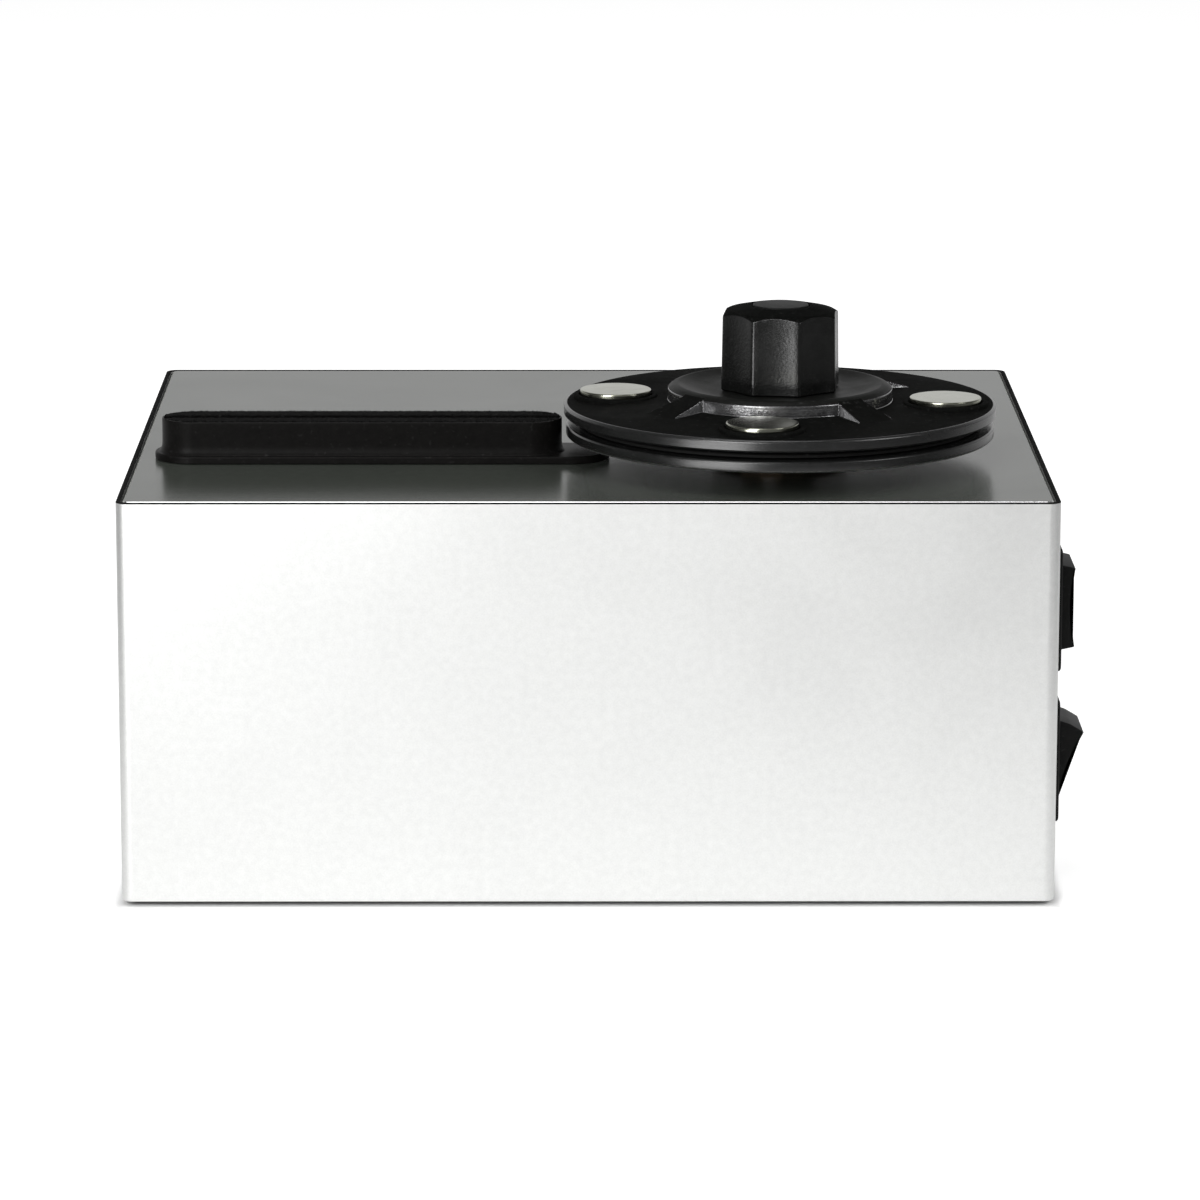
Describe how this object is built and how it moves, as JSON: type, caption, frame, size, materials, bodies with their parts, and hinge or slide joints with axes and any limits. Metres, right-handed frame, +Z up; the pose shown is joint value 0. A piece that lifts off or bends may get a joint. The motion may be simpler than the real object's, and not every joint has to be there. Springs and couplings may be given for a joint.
{
  "type": "record cleaning machine",
  "caption": "Vacuum record cleaner: a metal box with a flat deck, a long suction head, a driven platter under a knobbed magnetic clamp, side rocker switches, a rear mains inlet and a drain.",
  "frame": {"origin": "centre of the bounding box at floor level, under the feet", "axes": "+X to the right seen from the front, +Y to the back, +Z up"},
  "size_m": [0.2386, 0.2008, 0.1405],
  "materials": {
    "blasted_aluminium": "bead-blasted, satin silver",
    "dark_anodised": "dark anodised, fine satin",
    "black_steel": "black powder coat",
    "black_moulded": "black, fine satin",
    "black_satin": "black anodised, satin with a soft sheen",
    "black_rubber": "matt black rubber",
    "black_felt": "short black pile",
    "nickel": "bright nickel plate",
    "steel": "plain turned steel",
    "can_aluminium": "drawn can",
    "brass": "turned brass",
    "clear_plastic": "milky plastic",
    "nylon": "natural nylon",
    "tube_rubber": "grey rubber tube",
    "glass": "clear glass tube"
  },
  "bodies": {
    "cabinet": {"housing_wrap": "blasted_aluminium", "top_plate": "dark_anodised", "base_plate": "black_steel", "foot_front_left": "black_rubber", "foot_front_right": "black_rubber", "foot_back_left": "black_rubber", "foot_back_right": "black_rubber", "corner_post_front_left": "blasted_aluminium", "corner_post_front_right": "blasted_aluminium", "corner_post_back_left": "blasted_aluminium", "corner_post_back_right": "blasted_aluminium", "spindle_bush": "brass", "thrust_washer": "nylon", "gear_motor": "steel", "motor_plate": "steel", "suction_head": "black_moulded", "lip_front": "black_felt", "lip_back": "black_felt", "waste_tank": "clear_plastic", "tank_lid": "black_moulded", "intake_sleeve": "tube_rubber", "blower_housing": "black_moulded", "blower_cover": "black_moulded", "blower_motor": "steel", "motor_saddle": "black_steel", "drain_tube": "tube_rubber", "drain_nozzle": "black_moulded", "drain_nut": "black_moulded", "switch_frame_upper": "black_moulded", "switch_frame_lower": "black_moulded", "power_inlet": "black_moulded", "contact_live": "nickel", "contact_neutral": "nickel", "contact_earth": "nickel", "run_capacitor": "can_aluminium", "capacitor_clip": "black_moulded"},
    "turntable": {"platter": "black_satin", "keeper_ring": "steel", "platter_mat": "black_rubber", "spindle": "steel", "shaft_coupling": "brass", "motor_shaft": "steel"},
    "record_clamp": {"clamp_disc": "black_moulded", "clamp_seal": "black_rubber", "magnet_1": "nickel", "magnet_2": "nickel", "magnet_3": "nickel", "magnet_4": "nickel", "clamp_knob": "black_satin", "knob_cap": "black_moulded"},
    "upper_rocker": {"rocker_upper": "black_moulded"},
    "lower_rocker": {"rocker_lower": "black_moulded"},
    "blower_rotor": {"blower_wheel": "black_moulded"},
    "fuse_holder": {"fuse_drawer": "black_moulded", "fuse": "glass"},
    "drain_stopper": {"drain_cap": "black_rubber"}
  },
  "joints": [
    {"name": "platter_spin", "type": "hinge", "parent": "cabinet", "child": "turntable", "pos_m": [0.04421, -0.0404, 0.1012], "axis": [0, 0, 1], "continuous": true},
    {"name": "clamp_lift", "type": "slide", "parent": "turntable", "child": "record_clamp", "axis": [0, 0, 1], "range_m": [0, 0.03]},
    {"name": "rocker_upper_tilt", "type": "hinge", "parent": "cabinet", "child": "upper_rocker", "pos_m": [0.10791, -0.0674, 0.07], "axis": [0, 1, 0], "range_deg": [-19, 19]},
    {"name": "rocker_lower_tilt", "type": "hinge", "parent": "cabinet", "child": "lower_rocker", "pos_m": [0.10791, -0.0674, 0.0316], "axis": [0, -1, 0], "range_deg": [0, 38]},
    {"name": "blower_spin", "type": "hinge", "parent": "cabinet", "child": "blower_rotor", "pos_m": [-0.06124, 0.0056, 0.05065], "axis": [0, 1, 0], "continuous": true},
    {"name": "fuse_drawer_slide", "type": "slide", "parent": "cabinet", "child": "fuse_holder", "axis": [0, 1, 0], "range_m": [0, 0.014]},
    {"name": "drain_cap_pull", "type": "slide", "parent": "cabinet", "child": "drain_stopper", "axis": [0, 1, 0], "range_m": [0, 0.012]}
  ]
}
